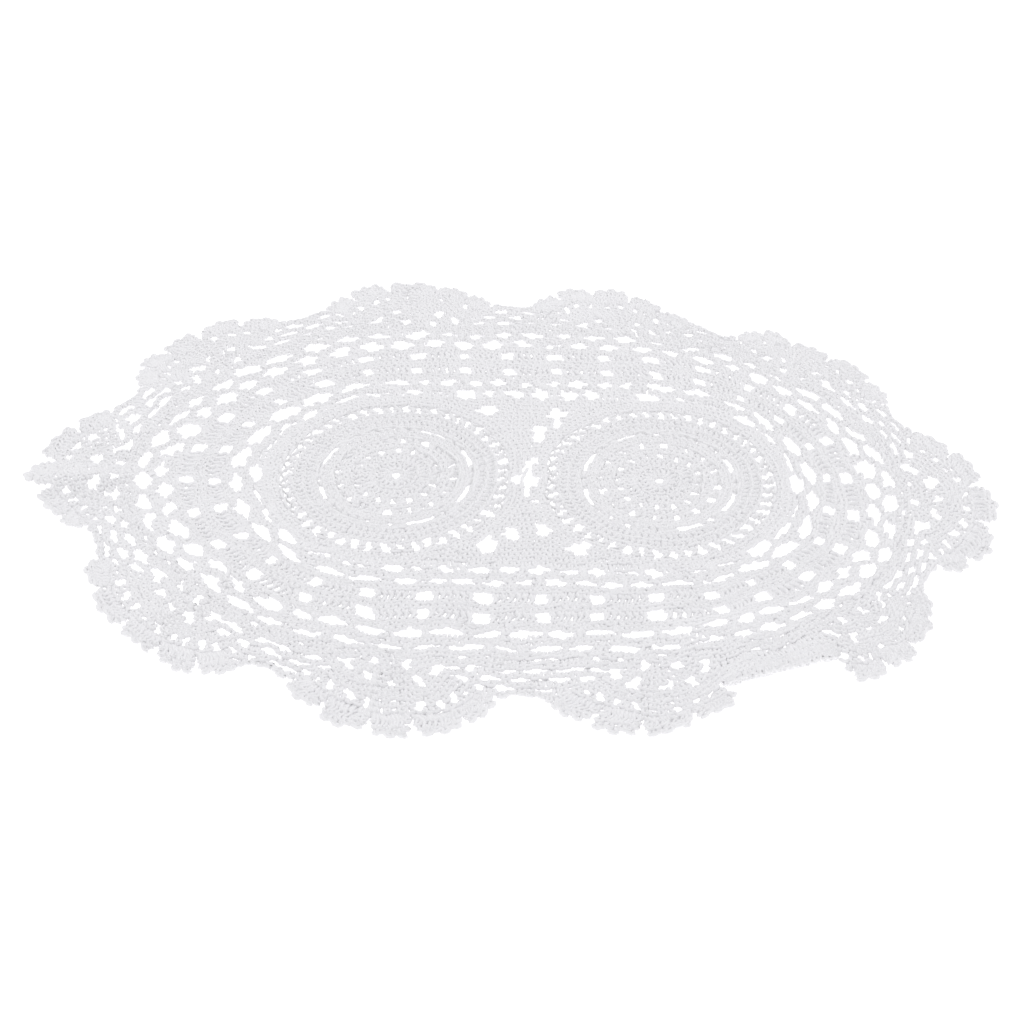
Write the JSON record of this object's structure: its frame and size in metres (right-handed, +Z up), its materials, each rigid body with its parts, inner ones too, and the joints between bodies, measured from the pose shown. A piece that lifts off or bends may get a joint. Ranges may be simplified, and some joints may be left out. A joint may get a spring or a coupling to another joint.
{
  "type": "oval crochet lace doily",
  "caption": "Oval white cotton crochet doily with two round medallions, rounds of blocks and net, and a scalloped picot edge, lying flat with a part of its edge turned under.",
  "frame": {"origin": "the middle of the mat's box on the surface it lies on, about 10 mm from where the two medallions touch", "axes": "+X along the mat's length through both medallions, +Y across the mat, +Z up out of its face"},
  "size_m": [0.4176, 0.3056, 0.007],
  "materials": {
    "cotton": "white mercerised crochet cotton, lightly twisted, soft and matt"
  },
  "bodies": {
    "root": {"doily": "cotton"}
  },
  "joints": []
}
